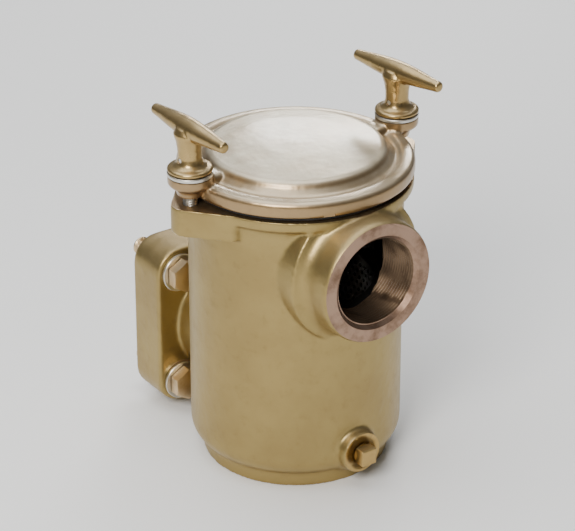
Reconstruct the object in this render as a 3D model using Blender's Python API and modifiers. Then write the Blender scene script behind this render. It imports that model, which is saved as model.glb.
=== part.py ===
"""Basket strainer with a two-screw cover, a threaded side inlet and a square outlet flange.

Frame: metres, +Z up along the pot's axis, origin at the centre of the foot.
The threaded inlet faces -Y, the outlet flange faces +Y, the two hand screws stand at +X and -X.
"""
import math

import bmesh
import bpy
from mathutils import Matrix, Vector

MM = 0.001
GAP = 0.3 * MM                  # space left between pieces that touch

# Pot
POT_R = 68 * MM
CHAMBER_R = 62 * MM
FLOOR_Z = 14 * MM               # inside of the pot's floor
FOOT_R = 60 * MM
RIM_R = 74 * MM
RIM_Z = 192 * MM                # machined top of the pot
RIM_T = 6 * MM
LEDGE_Z = 118 * MM              # seat of the basket
LEDGE_R = 56 * MM

# Threaded inlet, 2 inch pipe
INLET_Z = 151.5 * MM
INLET_R = 40 * MM
INLET_BORE_R = 28.5 * MM
INLET_CHAMFER = 2.5 * MM
INLET_Y = -88 * MM

# Outlet flange
OUTLET_Z = 62 * MM
OUTLET_BORE_R = 26 * MM
OUTLET_NECK_R = 41 * MM
FLANGE_HALF = 56 * MM
FLANGE_CORNER = 17 * MM
FLANGE_FRONT_Y = 76 * MM
FLANGE_BACK_Y = 106 * MM
BOLT_OFFSET = 40 * MM
BOLT_R = 6.35 * MM              # 1/2 inch cap screw
BOLT_HOLE_R = 7 * MM
BOLT_HEAD_R = 11 * MM           # across corners
BOLT_HEAD_H = 8 * MM
BOLT_END_Y = 122 * MM
BOLT_WASHER_R = 13 * MM
BOLT_WASHER_T = 2.4 * MM
OUTLET_GASKET_R = 38 * MM
OUTLET_GASKET_T = 2 * MM

# Drain
DRAIN_Z = 25 * MM
DRAIN_BOSS_R = 14 * MM
DRAIN_BOSS_Y = -74 * MM
DRAIN_HOLE_R = 6.9 * MM         # 1/4 inch pipe
PLUG_LENGTH = 12 * MM
PLUG_HEAD = 11 * MM
PLUG_HEAD_H = 8 * MM

# Cover
GASKET_T = 2.4 * MM
GASKET_R = 71 * MM
COVER_R = 74.5 * MM
COVER_Z = RIM_Z + GASKET_T + 2 * GAP   # underside of the cover's rim
COVER_EDGE = 9 * MM
PLATEAU_R = 57 * MM
PLATEAU_H = 7.5 * MM            # plateau above the top of the cover's edge
CROWN = 1.5 * MM
COVER_WALL = 8 * MM
SPIGOT_R = 61 * MM              # lip that centres the cover in the pot

# Hand screws
SCREW_X = 78 * MM
LUG_TIP_R = 12.5 * MM           # round end of a lug about its stud
LUG_X = 69 * MM                 # where a lug's sloping sides meet its square ends
LUG_HALF = 31 * MM
LUG_T = 18 * MM
EAR_R = 14 * MM
EAR_PLATE = 5.5 * MM            # thickness of an ear at its edge
EAR_FOOT_R = 8.5 * MM
EAR_Z = 198 * MM
EAR_TOP = 211 * MM
ARM_HALF = 7 * MM
STUD_R = 4.76 * MM              # 3/8 inch stud
STUD_HOLE_R = STUD_R + GAP
EAR_HOLE_R = 5.6 * MM
STUD_ENGAGED = 10 * MM          # length of stud in the lug
STUD_IN_HANDLE = 16 * MM
WASHER_R = 14.2 * MM
WASHER_T = 2.4 * MM
COLLAR_R = 14.2 * MM
COLLAR_T = 3 * MM
STEM_R = 7.4 * MM
BAR_Z = 242 * MM
BAR_HALF = 37.5 * MM
BAR_MID_R = 6.6 * MM
BAR_END_R = 3.6 * MM
PIN_R = 1.5 * MM
HANDLE_TURN = {"left": 1.5, "right": 8}   # degrees, rest angle of each bar from Y

# Basket
BASKET_RIM_R = 60.5 * MM
BASKET_RIM_T = 3 * MM
BASKET_TOP_R = 52 * MM
BASKET_LOW_R = 47 * MM
BASKET_WALL = 1.5 * MM
BASKET_BOTTOM_Z = 24 * MM
BOTTOM_T = 2 * MM
BAIL_WIRE_R = 1.6 * MM
BAIL_R = 53.5 * MM
PIVOT_UP = 3.2 * MM             # bail pivot above the basket's rim
TAB_X = 57.5 * MM
TAB_T = 2 * MM
TAB_HALF = 6 * MM
TAB_H = 8 * MM

ROUND = 48                      # steps of a large turned piece
SMALL_ROUND = 24                # steps of a small one
MERGE = 0.01 * MM               # distance under which vertices are one
SHARP = math.radians(35)

BRONZE = (0.50, 0.36, 0.17)
STEEL = (0.62, 0.61, 0.59)
RUBBER = (0.02, 0.02, 0.02)


def clear_scene():
    for obj in list(bpy.data.objects):
        bpy.data.objects.remove(obj, do_unlink=True)


def new_collection(name):
    collection = bpy.data.collections.new(name)
    bpy.context.scene.collection.children.link(collection)
    return collection


def new_material(name, colour, roughness, metallic):
    material = bpy.data.materials.new(name)
    material.use_nodes = True
    shader = material.node_tree.nodes["Principled BSDF"]
    shader.inputs["Base Color"].default_value = (*colour, 1)
    shader.inputs["Roughness"].default_value = roughness
    shader.inputs["Metallic"].default_value = metallic
    return material


def add_object(name, mesh, parent=None):
    """Put a mesh in the scene, as a shape that other pieces are made from."""
    obj = bpy.data.objects.new(name, mesh)
    CUTTERS.objects.link(obj)
    obj.parent = parent
    obj.hide_render = True
    obj.display_type = "WIRE"
    return obj


def arc(centre, radius, start, end, steps=4):
    """Points of a round stretch of a profile, angles in degrees."""
    points = []
    for step in range(steps + 1):
        angle = math.radians(start + (end - start) * step / steps)
        points.append((centre[0] + radius * math.cos(angle), centre[1] + radius * math.sin(angle)))
    return points


def turned(name, profile, closed=False, steps=ROUND, parent=None):
    """A profile of (radius, height) points turned about Z, running down its outer side."""
    mesh = bpy.data.meshes.new(name)
    edges = [(i, i + 1) for i in range(len(profile) - 1)]
    if closed:
        edges.append((len(profile) - 1, 0))
    mesh.from_pydata([(r, 0, z) for r, z in profile], edges, [])
    obj = add_object(name, mesh, parent)
    screw = obj.modifiers.new("turn", "SCREW")
    screw.steps = steps
    screw.render_steps = steps
    screw.use_merge_vertices = True
    screw.merge_threshold = MERGE
    return obj


def cylinder(name, radius, low, high, steps=SMALL_ROUND, parent=None):
    return turned(name, [(0, high), (radius, high), (radius, low), (0, low)], steps=steps, parent=parent)


def block(name, low, high, axis, corner, segments=5, parent=None):
    """A box whose four edges along one axis are rounded."""
    mesh = bpy.data.meshes.new(name)
    bm = bmesh.new()
    bmesh.ops.create_cube(bm, size=1)
    size = Vector(high) - Vector(low)
    middle = (Vector(high) + Vector(low)) / 2
    bmesh.ops.transform(bm, matrix=Matrix.Translation(middle) @ Matrix.Diagonal((*size, 1)), verts=bm.verts)
    along = [e for e in bm.edges if abs((e.verts[0].co - e.verts[1].co)[axis]) > 0.5 * size[axis]]
    bmesh.ops.bevel(bm, geom=along, offset=corner, segments=segments, affect="EDGES", profile=0.5)
    bm.to_mesh(mesh)
    bm.free()
    return add_object(name, mesh, parent)


def outline_block(name, outline, low, high):
    """An upright block over an outline of (x, y) points that runs anticlockwise."""
    count = len(outline)
    verts = [(x, y, z) for z in (low, high) for x, y in outline]
    faces = [tuple(reversed(range(count))), tuple(range(count, 2 * count))]
    faces += [(i, (i + 1) % count, count + (i + 1) % count, count + i) for i in range(count)]
    mesh = bpy.data.meshes.new(name)
    mesh.from_pydata(verts, [], faces)
    return add_object(name, mesh)


def lug(side):
    """Ear of the pot that a stud screws into: wide at the pot, tapering to a round end."""
    slope = math.atan2(LUG_HALF - LUG_TIP_R, SCREW_X - LUG_X)
    lean = math.degrees(math.pi / 2 - slope)
    tip = arc((SCREW_X, 0), LUG_TIP_R, -lean, lean, 8)
    outline = [(50 * MM, -LUG_HALF), (LUG_X, -LUG_HALF), *tip, (LUG_X, LUG_HALF), (50 * MM, LUG_HALF)]
    if side < 0:
        outline = [(-x, y) for x, y in reversed(outline)]
    return outline_block("lug", outline, RIM_Z - LUG_T, RIM_Z)


def prism(name, sides, radius, low, high, parent=None):
    """A regular prism along Z."""
    mesh = bpy.data.meshes.new(name)
    bm = bmesh.new()
    bmesh.ops.create_cone(bm, cap_ends=True, segments=sides, radius1=radius, radius2=radius,
                          depth=high - low)
    bmesh.ops.translate(bm, vec=(0, 0, (high + low) / 2), verts=bm.verts)
    bm.to_mesh(mesh)
    bm.free()
    return add_object(name, mesh, parent)


def along_y(obj, x=0.0, z=0.0, direction=-1, spin=0.0):
    """Turn an object's Z to point along -Y or +Y, on the line through x and z."""
    obj.matrix_basis = (Matrix.Translation((x, 0, z)) @ Matrix.Rotation(-direction * math.pi / 2, 4, "X")
                        @ Matrix.Rotation(math.radians(spin), 4, "Z"))
    return obj


def combine(obj, operation, *others):
    for other in others:
        boolean = obj.modifiers.new(other.name, "BOOLEAN")
        boolean.solver = "EXACT"
        boolean.operation = operation
        boolean.object = other


def finish(obj, name, material):
    """Turn a built shape into the named part."""
    bpy.context.view_layer.update()
    mesh = bpy.data.meshes.new_from_object(obj.evaluated_get(bpy.context.evaluated_depsgraph_get()))
    bm = bmesh.new()
    bm.from_mesh(mesh)
    bmesh.ops.remove_doubles(bm, verts=bm.verts, dist=MERGE)
    bmesh.ops.dissolve_degenerate(bm, edges=bm.edges, dist=MERGE)
    bmesh.ops.triangulate(bm, faces=[f for f in bm.faces if len(f.verts) > 4])
    bm.to_mesh(mesh)
    bm.free()
    mesh.shade_smooth()
    mesh.set_sharp_from_angle(angle=SHARP)
    mesh.materials.clear()
    mesh.materials.append(material)
    part = bpy.data.objects.new(name, mesh)
    PARTS.objects.link(part)
    part.parent = obj.parent
    part.matrix_world = obj.matrix_world
    return part


def ring(inner, outer, low, high):
    return [(inner, low), (inner, high), (outer, high), (outer, low)]


def strainer_body():
    """Casting: pot, rim, lugs, inlet boss, outlet neck and flange, drain boss."""
    profile = [(0, RIM_Z), (RIM_R - MM, RIM_Z), (RIM_R, RIM_Z - MM)]
    profile += [(RIM_R, RIM_Z - RIM_T), (POT_R + MM, RIM_Z - RIM_T - 2 * MM)]
    profile += [(POT_R, RIM_Z - RIM_T - 6 * MM), (POT_R, 20 * MM)]
    profile += arc((POT_R - 12 * MM, 20 * MM), 12 * MM, -15, -60)
    profile += [(FOOT_R, 6 * MM), (FOOT_R, 0), (0, 0)]
    pot = turned("pot", profile)

    # The pot is solid until its bosses are joined, and the chamber and the bores are cut last.
    inlet = turned("inlet_boss", [(0, -INLET_Y), (INLET_R - 3 * MM, -INLET_Y),
                                  *arc((INLET_R - 3 * MM, -INLET_Y - 3 * MM), 3 * MM, 60, 0, 2),
                                  (INLET_R, 30 * MM), (0, 30 * MM)], steps=48)
    along_y(inlet, z=INLET_Z)
    neck = along_y(cylinder("outlet_neck", OUTLET_NECK_R, 30 * MM, FLANGE_FRONT_Y + 4 * MM, 48),
                   z=OUTLET_Z, direction=1)
    flange = block("flange_block", (-FLANGE_HALF, FLANGE_FRONT_Y, OUTLET_Z - FLANGE_HALF),
                   (FLANGE_HALF, FLANGE_BACK_Y, OUTLET_Z + FLANGE_HALF), 1, FLANGE_CORNER, 6)
    drain = along_y(cylinder("drain_boss", DRAIN_BOSS_R, 40 * MM, -DRAIN_BOSS_Y), z=DRAIN_Z)
    combine(pot, "UNION", inlet, neck, flange, drain, lug(-1), lug(1))

    core = turned("chamber", [(0, RIM_Z + MM), (CHAMBER_R, RIM_Z + MM), (CHAMBER_R, LEDGE_Z),
                              (LEDGE_R, LEDGE_Z), (LEDGE_R, LEDGE_Z - 6 * MM),
                              (CHAMBER_R, LEDGE_Z - 14 * MM), (CHAMBER_R, FLOOR_Z + 8 * MM),
                              *arc((CHAMBER_R - 8 * MM, FLOOR_Z + 8 * MM), 8 * MM, 0, -70),
                              (CHAMBER_R - 8 * MM, FLOOR_Z), (0, FLOOR_Z)])
    mouth = -INLET_Y
    inlet_bore = turned("inlet_bore", [(0, mouth + MM), (INLET_BORE_R + INLET_CHAMFER + MM, mouth + MM),
                                       (INLET_BORE_R, mouth - INLET_CHAMFER), (INLET_BORE_R, 40 * MM),
                                       (0, 40 * MM)])
    along_y(inlet_bore, z=INLET_Z, spin=2)
    outlet_bore = along_y(cylinder("outlet_bore", OUTLET_BORE_R, 40 * MM, FLANGE_BACK_Y + MM, 48),
                          z=OUTLET_Z, direction=1, spin=2)
    drain_hole = along_y(cylinder("drain_hole", DRAIN_HOLE_R, 50 * MM, -DRAIN_BOSS_Y + MM), z=DRAIN_Z, spin=3)
    bolt_holes = [along_y(cylinder("bolt_hole", BOLT_HOLE_R, FLANGE_FRONT_Y - MM, FLANGE_BACK_Y + MM, 16),
                          x, z, 1) for x, z in bolt_places()]
    stud_holes = [cylinder("stud_hole", STUD_HOLE_R, RIM_Z - LUG_T - MM, RIM_Z + MM, 16)
                  for side in (-1, 1)]
    for hole, side in zip(stud_holes, (-1, 1)):
        hole.location.x = side * SCREW_X
    combine(pot, "DIFFERENCE", core, inlet_bore, outlet_bore, drain_hole, *bolt_holes, *stud_holes)
    return finish(pot, "strainer_body", MATERIALS["bronze"])


def bolt_places():
    return [(x * BOLT_OFFSET, OUTLET_Z + z * BOLT_OFFSET) for x in (-1, 1) for z in (-1, 1)]


def outlet_fasteners():
    """Four cap screws with washers, and the ring gasket inside them."""
    under_head = FLANGE_FRONT_Y - BOLT_WASHER_T - 2 * GAP
    for place, (x, z) in zip(("low_left", "high_left", "low_right", "high_right"), bolt_places()):
        shank = along_y(cylinder("shank", BOLT_R, under_head - MM, BOLT_END_Y, 16), x, z, 1)
        head = along_y(prism("head", 6, BOLT_HEAD_R, under_head - BOLT_HEAD_H, under_head), x, z, 1)
        combine(shank, "UNION", head)
        finish(shank, "flange_screw_" + place, MATERIALS["bronze"])
        washer = turned("washer", ring(BOLT_R + GAP, BOLT_WASHER_R, under_head + GAP,
                                       FLANGE_FRONT_Y - GAP), True, 24)
        finish(along_y(washer, x, z, 1), "flange_washer_" + place, MATERIALS["steel"])
    gasket = turned("gasket", ring(OUTLET_BORE_R + MM, OUTLET_GASKET_R, FLANGE_BACK_Y + GAP,
                                   FLANGE_BACK_Y + GAP + OUTLET_GASKET_T), True)
    finish(along_y(gasket, z=OUTLET_Z, direction=1), "outlet_gasket", MATERIALS["rubber"])


def drain_plug():
    """Square-headed pipe plug below the inlet."""
    root = -DRAIN_BOSS_Y - PLUG_LENGTH
    stem = cylinder("plug_stem", DRAIN_HOLE_R - GAP, root, -DRAIN_BOSS_Y + MM)
    half = PLUG_HEAD / 2
    head = block("plug_head", (-half, -half, -DRAIN_BOSS_Y + GAP),
                 (half, half, -DRAIN_BOSS_Y + PLUG_HEAD_H), 2, MM, 2)
    combine(along_y(stem, z=DRAIN_Z), "UNION", along_y(head, z=DRAIN_Z))
    finish(stem, "drain_plug", MATERIALS["bronze"])


def cover():
    """Turned cover with a raised plateau, a groove, a centring spigot and two ears."""
    edge_z = COVER_Z + COVER_EDGE
    top = edge_z + PLATEAU_H
    profile = [(0, top + CROWN), (PLATEAU_R * 0.5, top + 0.7 * CROWN), (PLATEAU_R - 3 * MM, top)]
    profile += arc((PLATEAU_R - 3 * MM, top - 4 * MM), 4 * MM, 70, 10, 3)
    profile += [(PLATEAU_R + 3 * MM, edge_z + 1.6 * MM), (PLATEAU_R + 7 * MM, edge_z + 0.6 * MM)]
    profile += [(PLATEAU_R + 9 * MM, edge_z + 1.5 * MM), (COVER_R - 4 * MM, edge_z + 1.2 * MM)]
    profile += arc((COVER_R - 3 * MM, edge_z - 2.2 * MM), 3 * MM, 75, 0, 3)
    profile += [(COVER_R, COVER_Z + 1.5 * MM), (COVER_R - 1.5 * MM, COVER_Z), (SPIGOT_R, COVER_Z)]
    profile += [(SPIGOT_R - 0.5 * MM, COVER_Z - 5 * MM), (SPIGOT_R - 4 * MM, COVER_Z - 5 * MM)]
    profile += [(SPIGOT_R - 4.2 * MM, COVER_Z + 2 * MM), (SPIGOT_R - 10 * MM, top - COVER_WALL)]
    profile += [(0, top + CROWN - COVER_WALL)]
    plate = turned("cover_plate", profile)

    ears = []
    holes = []
    for side in (-1, 1):
        boss = turned("ear_boss", [(0, EAR_TOP), (EAR_R - MM, EAR_TOP), (EAR_R, EAR_TOP - MM),
                                   (EAR_R, EAR_TOP - EAR_PLATE),
                                   (EAR_FOOT_R + MM, EAR_TOP - EAR_PLATE - 3 * MM),
                                   (EAR_FOOT_R, EAR_TOP - EAR_PLATE - 5 * MM),
                                   (EAR_FOOT_R - MM, EAR_Z), (0, EAR_Z)], steps=SMALL_ROUND)
        boss.location.x = side * SCREW_X
        arm = block("ear_arm", (side * 67 * MM - 9 * MM, -ARM_HALF, EAR_Z + MM),
                    (side * 67 * MM + 9 * MM, ARM_HALF, EAR_TOP - 2 * MM), 0, 3.5 * MM, 3)
        hole = cylinder("ear_hole", EAR_HOLE_R, COVER_Z - MM, EAR_TOP + MM, 16)
        hole.location.x = side * SCREW_X
        ears += [boss, arm]
        holes.append(hole)
    combine(plate, "UNION", *ears)
    combine(plate, "DIFFERENCE", *holes)
    finish(plate, "cover", MATERIALS["bronze"])

    gasket = turned("gasket", ring(CHAMBER_R + MM, GASKET_R, RIM_Z + GAP, RIM_Z + GAP + GASKET_T), True)
    finish(gasket, "cover_gasket", MATERIALS["rubber"])


def hand_screw(side, sign):
    """T-handle on a pinned stud, with the thrust washer under its collar."""
    axis = bpy.data.objects.new(side + "_screw_axis", None)
    PARTS.objects.link(axis)
    axis.location = (sign * SCREW_X, 0, 0)
    axis.rotation_euler.z = math.radians(HANDLE_TURN[side])

    washer_z = EAR_TOP + GAP
    washer = turned("washer", ring(STUD_R + GAP, WASHER_R, washer_z, washer_z + WASHER_T), True,
                    SMALL_ROUND, axis)
    finish(washer, side + "_thrust_washer", MATERIALS["steel"])

    low = washer_z + WASHER_T + GAP
    profile = [(0, BAR_Z), (STEM_R + 1.2 * MM, BAR_Z - 2 * MM), (STEM_R, BAR_Z - 9 * MM)]
    profile += [(STEM_R, low + COLLAR_T + 3 * MM), (STEM_R + 1.8 * MM, low + COLLAR_T + 0.8 * MM)]
    profile += [(COLLAR_R - MM, low + COLLAR_T), (COLLAR_R, low + COLLAR_T - MM), (COLLAR_R, low)]
    profile += [(0, low)]
    stem = turned("stem", profile, steps=SMALL_ROUND, parent=axis)
    bar_profile = [(0, BAR_HALF)]
    bar_profile += arc((BAR_END_R - 1.5 * MM, BAR_HALF - 1.5 * MM), 1.5 * MM, 90, 15, 2)
    for share in (0.75, 0.45, 0.15, -0.15, -0.45, -0.75):
        swell = math.cos(share * math.pi / 2)
        bar_profile.append((BAR_END_R + (BAR_MID_R - BAR_END_R) * swell, share * BAR_HALF))
    bar_profile += arc((BAR_END_R - 1.5 * MM, 1.5 * MM - BAR_HALF), 1.5 * MM, -15, -90, 2)
    bar_profile.append((0, -BAR_HALF))
    bar = turned("bar", bar_profile, steps=20, parent=axis)
    bar.rotation_euler.x = math.pi / 2
    bar.location.z = BAR_Z
    stud_top = low + STUD_IN_HANDLE
    bore = cylinder("stud_bore", STUD_R + GAP, low - MM, stud_top + GAP, 16, axis)
    pin_z = low + COLLAR_T + 5 * MM
    pin_hole = cylinder("pin_hole", PIN_R + GAP, -STEM_R - 3 * MM, STEM_R + 3 * MM, 12, axis)
    pin_hole.rotation_euler.y = math.pi / 2
    pin_hole.location.z = pin_z
    combine(stem, "UNION", bar)
    combine(stem, "DIFFERENCE", bore, pin_hole)
    finish(stem, side + "_t_handle", MATERIALS["bronze"])

    low_end = RIM_Z - STUD_ENGAGED
    stud = turned("stud", [(0, stud_top), (STUD_R, stud_top), (STUD_R, low_end + 1.2 * MM),
                           (STUD_R - 1.2 * MM, low_end), (0, low_end)], steps=16, parent=axis)
    combine(stud, "DIFFERENCE", pin_hole)
    finish(stud, side + "_stud", MATERIALS["steel"])

    pin = cylinder("pin", PIN_R, -STEM_R + 0.2 * MM, STEM_R - 0.2 * MM, 12, axis)
    pin.rotation_euler.y = math.pi / 2
    pin.location.z = pin_z
    finish(pin, side + "_stud_pin", MATERIALS["steel"])


def tube_mesh(name, points, radius):
    """A round wire through points, as a closed mesh."""
    curve = bpy.data.curves.new(name, "CURVE")
    curve.dimensions = "3D"
    curve.bevel_depth = radius
    curve.bevel_resolution = 2
    curve.use_fill_caps = True
    spline = curve.splines.new("POLY")
    spline.points.add(len(points) - 1)
    for point, place in zip(spline.points, points):
        point.co = (*place, 1)
    source = bpy.data.objects.new(name, curve)
    CUTTERS.objects.link(source)
    bpy.context.view_layer.update()
    mesh = bpy.data.meshes.new_from_object(source.evaluated_get(bpy.context.evaluated_depsgraph_get()))
    bpy.data.objects.remove(source, do_unlink=True)
    bm = bmesh.new()
    bm.from_mesh(mesh)
    bmesh.ops.remove_doubles(bm, verts=bm.verts, dist=MERGE)
    bm.to_mesh(mesh)
    bm.free()
    return mesh


def basket():
    """Lift-out basket: rim, screen, bottom, two upright tabs and a swinging bail."""
    seat = LEDGE_Z + GAP
    rim_top = seat + BASKET_RIM_T
    finish(turned("rim", [(BASKET_TOP_R - 3 * MM, seat), (BASKET_TOP_R - 3 * MM, rim_top),
                          (BASKET_RIM_R - 1.2 * MM, rim_top), (BASKET_RIM_R, rim_top - 1.2 * MM),
                          (BASKET_RIM_R, seat)], True), "basket_rim", MATERIALS["steel"])

    high = seat - GAP
    low = BASKET_BOTTOM_Z
    screen = turned("screen", [(BASKET_LOW_R - BASKET_WALL, low), (BASKET_TOP_R - BASKET_WALL, high),
                               (BASKET_TOP_R, high), (BASKET_LOW_R, low)], True)
    finish(screen, "basket_screen", MATERIALS["steel"])
    plate_r = BASKET_LOW_R - BASKET_WALL - GAP
    finish(turned("bottom", [(0, low + BOTTOM_T), (plate_r, low + BOTTOM_T), (plate_r, low), (0, low)]),
           "basket_bottom", MATERIALS["steel"])

    pivot_z = rim_top + PIVOT_UP
    for name, side in (("left", -1), ("right", 1)):
        middle = side * TAB_X
        tab = block("tab", (middle - TAB_T / 2, -TAB_HALF, rim_top + GAP),
                    (middle + TAB_T / 2, TAB_HALF, rim_top + GAP + TAB_H), 0, 2.5 * MM, 3)
        eye = cylinder("eye", BAIL_WIRE_R + GAP, middle - TAB_T, middle + TAB_T, 12)
        eye.rotation_euler.y = math.pi / 2
        eye.location.z = pivot_z
        combine(tab, "DIFFERENCE", eye)
        finish(tab, "bail_tab_" + name, MATERIALS["steel"])

    # Folded bail: a half hoop lying on the rim towards +Y, its ends turned out through the tabs.
    drop = GAP + BAIL_WIRE_R - PIVOT_UP
    end_x = TAB_X + TAB_T / 2 + 1.5 * MM
    points = [(-end_x, 0, 0), (-BAIL_R + 1.5 * MM, 0, 0)]
    for step in range(1, 20):
        angle = math.pi * (1 - step / 20)
        points.append((BAIL_R * math.cos(angle), BAIL_R * math.sin(angle), drop))
    points += [(BAIL_R - 1.5 * MM, 0, 0), (end_x, 0, 0)]
    bail = add_object("bail", tube_mesh("bail", points, BAIL_WIRE_R))
    bail.location.z = pivot_z
    finish(bail, "basket_bail", MATERIALS["steel"])


clear_scene()
PARTS = new_collection("basket_strainer")
CUTTERS = new_collection("cutters")
MATERIALS = {"bronze": new_material("bronze", BRONZE, 0.45, 1.0),
             "steel": new_material("steel", STEEL, 0.35, 1.0),
             "rubber": new_material("rubber", RUBBER, 0.8, 0.0)}
strainer_body()
outlet_fasteners()
drain_plug()
cover()
hand_screw("left", -1)
hand_screw("right", 1)
basket()
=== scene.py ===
"""Looks of the basket strainer: castings, machined faces, threads, perforated basket, finishes."""
import math
import bmesh
import bpy
from mathutils import Matrix, Vector


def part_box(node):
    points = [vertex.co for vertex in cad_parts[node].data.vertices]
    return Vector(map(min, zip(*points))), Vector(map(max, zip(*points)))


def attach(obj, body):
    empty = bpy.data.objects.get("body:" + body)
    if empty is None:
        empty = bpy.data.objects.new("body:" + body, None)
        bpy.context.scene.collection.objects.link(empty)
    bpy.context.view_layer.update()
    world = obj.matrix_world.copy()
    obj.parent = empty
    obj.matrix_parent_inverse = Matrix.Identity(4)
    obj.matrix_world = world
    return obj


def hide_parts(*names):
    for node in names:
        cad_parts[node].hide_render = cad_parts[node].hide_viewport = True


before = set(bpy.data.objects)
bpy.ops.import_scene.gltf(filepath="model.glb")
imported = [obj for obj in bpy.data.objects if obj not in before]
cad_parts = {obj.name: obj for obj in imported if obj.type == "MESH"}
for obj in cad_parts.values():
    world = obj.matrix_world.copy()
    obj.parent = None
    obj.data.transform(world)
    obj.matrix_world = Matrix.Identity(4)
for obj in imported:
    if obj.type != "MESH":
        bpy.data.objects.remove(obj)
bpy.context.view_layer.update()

MM = 0.001
MERGE = 0.01 * MM
GAP = 0.3 * MM                  # between pieces that touch
SIDES = {"left": -1, "right": 1}
CORNERS = [(height, side) for height in ("low", "high") for side in SIDES]

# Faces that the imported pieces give
BODY_LOW, BODY_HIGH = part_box("strainer_body")
RIM_Z = BODY_HIGH.z
MOUTH_Y = BODY_LOW.y
FLANGE_Y = BODY_HIGH.y
COVER_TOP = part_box("cover")[1].z
EAR_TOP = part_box("left_thrust_washer")[0].z - GAP
LEDGE_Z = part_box("basket_rim")[0].z - GAP

# Pot casting
POT_R = 68 * MM
CHAMBER_R = 62 * MM
LEDGE_R = 56 * MM
FLOOR_Z = 14 * MM
FOOT_R = 60 * MM
RIM_R = 74 * MM
RIM_T = 6 * MM
LUG_T = 18 * MM
LUG_X = 69 * MM                 # where a lug's sloping sides meet its square ends
LUG_HALF = 31 * MM
LUG_TIP_R = 12.5 * MM           # round end of a lug about its stud
SCREW_X = 78 * MM
STUD_HOLE_R = 5.06 * MM
INLET_Z = 151.5 * MM
INLET_R = 40 * MM
INLET_BORE_R = 28.5 * MM
INLET_CHAMFER = 2.5 * MM
OUTLET_Z = 62 * MM
OUTLET_BORE_R = 26 * MM
NECK_R = 41 * MM
FLANGE_HALF = 56 * MM
FLANGE_FRONT_Y = 76 * MM
FLANGE_CORNER = 17 * MM
BOLT_HOLE_R = 7 * MM
SEAT_R = 14 * MM                # spot face under a screw head
SEAT_DEPTH = 9 * MM
DRAIN_Z = 25 * MM
DRAIN_Y = -74 * MM
DRAIN_BORE_R = 6.9 * MM

# Threads: pitch of 2 inch and 1/4 inch pipe, of 1/2 inch and 3/8 inch screws
INLET_PITCH = 25.4 / 11.5 * MM
DRAIN_PITCH = 25.4 / 18 * MM
BOLT_PITCH = 25.4 / 13 * MM
STUD_PITCH = 25.4 / 16 * MM

# Cover and hand screws
COVER_R = 74.5 * MM
COVER_EDGE = 9 * MM
COVER_WALL = 8 * MM
PLATEAU_R = 57 * MM
PLATEAU_H = 7.5 * MM            # plateau above the top of the cover's edge
CROWN = 1.5 * MM
COVER_Z = COVER_TOP - COVER_EDGE - PLATEAU_H - CROWN    # underside of the cover's rim
SPIGOT_R = 61 * MM              # lip that centres the cover in the pot
SPIGOT_H = 5 * MM
EAR_R = 14 * MM
EAR_HOLE_R = 5.6 * MM
ARM_X = 67 * MM                 # middle of the web from the cover to an ear
ARM_HALF_X = 9 * MM
ARM_HALF_Y = 7 * MM
COLLAR_R = 14.2 * MM
STEM_R = 7.4 * MM
STUD_IN_HANDLE = 16.3 * MM
BAR_Z = 242 * MM
BAR_HALF = 37.5 * MM
BAR_MID_R = 6.5 * MM
BAR_END_R = 3.6 * MM
HANDLE_TURN = {"left": 1.5, "right": 8}     # degrees, rest angle of each bar from Y

# Flange screws
HEAD_T = 8 * MM
HEAD_R = 11 * MM
SHANK_R = 6.3 * MM
SHANK_END = 34 * MM             # of the plain shank, from the top of the head

# Basket sheet
SHEET_T = 0.9 * MM
HOLE_R = 1.45 * MM


# ---------------------------------------------------------------- shapes

def link(name, mesh):
    obj = bpy.data.objects.new(name, mesh)
    bpy.context.scene.collection.objects.link(obj)
    return obj


def evaluated(obj):
    bpy.context.view_layer.update()
    return obj.evaluated_get(bpy.context.evaluated_depsgraph_get())


def settle(obj):
    """Make the modifiers' result the object's own mesh, in world space."""
    mesh = bpy.data.meshes.new_from_object(evaluated(obj))
    mesh.transform(obj.matrix_world)
    obj.modifiers.clear()
    obj.matrix_world = Matrix.Identity(4)
    obj.data = mesh
    mesh.name = obj.name
    return obj


def arc(centre, radius, start, end, steps=8):
    """Points of a round stretch of a profile, angles in degrees."""
    points = []
    for step in range(steps + 1):
        angle = math.radians(start + (end - start) * step / steps)
        points.append((centre[0] + radius * math.cos(angle), centre[1] + radius * math.sin(angle)))
    return points


def turned(name, profile, closed=False, steps=96):
    """A profile of (radius, height) points turned about Z, running down its outer side."""
    mesh = bpy.data.meshes.new(name)
    edges = [(i, i + 1) for i in range(len(profile) - 1)]
    if closed:
        edges.append((len(profile) - 1, 0))
    mesh.from_pydata([(r, 0, z) for r, z in profile], edges, [])
    obj = link(name, mesh)
    screw = obj.modifiers.new("turn", "SCREW")
    screw.steps = screw.render_steps = steps
    screw.use_merge_vertices = True
    screw.merge_threshold = MERGE
    return settle(obj)


def drum(name, radius, low, high, steps=64):
    return turned(name, [(0, high), (radius, high), (radius, low), (0, low)], steps=steps)


def block(name, low, high, axis, corner, edge=0.0):
    """A box with four rounded corners along one axis, and its other edges eased."""
    mesh = bpy.data.meshes.new(name)
    bm = bmesh.new()
    bmesh.ops.create_cube(bm, size=1)
    size = Vector(high) - Vector(low)
    middle = (Vector(high) + Vector(low)) / 2
    bmesh.ops.transform(bm, matrix=Matrix.Translation(middle) @ Matrix.Diagonal((*size, 1)), verts=bm.verts)
    along = [e for e in bm.edges if abs((e.verts[0].co - e.verts[1].co)[axis]) > 0.5 * size[axis]]
    bmesh.ops.bevel(bm, geom=along, offset=corner, segments=10, affect="EDGES", profile=0.5)
    if edge:
        rims = [e for e in bm.edges if abs((e.verts[0].co - e.verts[1].co)[axis]) < MERGE]
        bmesh.ops.bevel(bm, geom=rims, offset=edge, segments=3, affect="EDGES", profile=0.5)
    bm.to_mesh(mesh)
    bm.free()
    return link(name, mesh)


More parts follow.
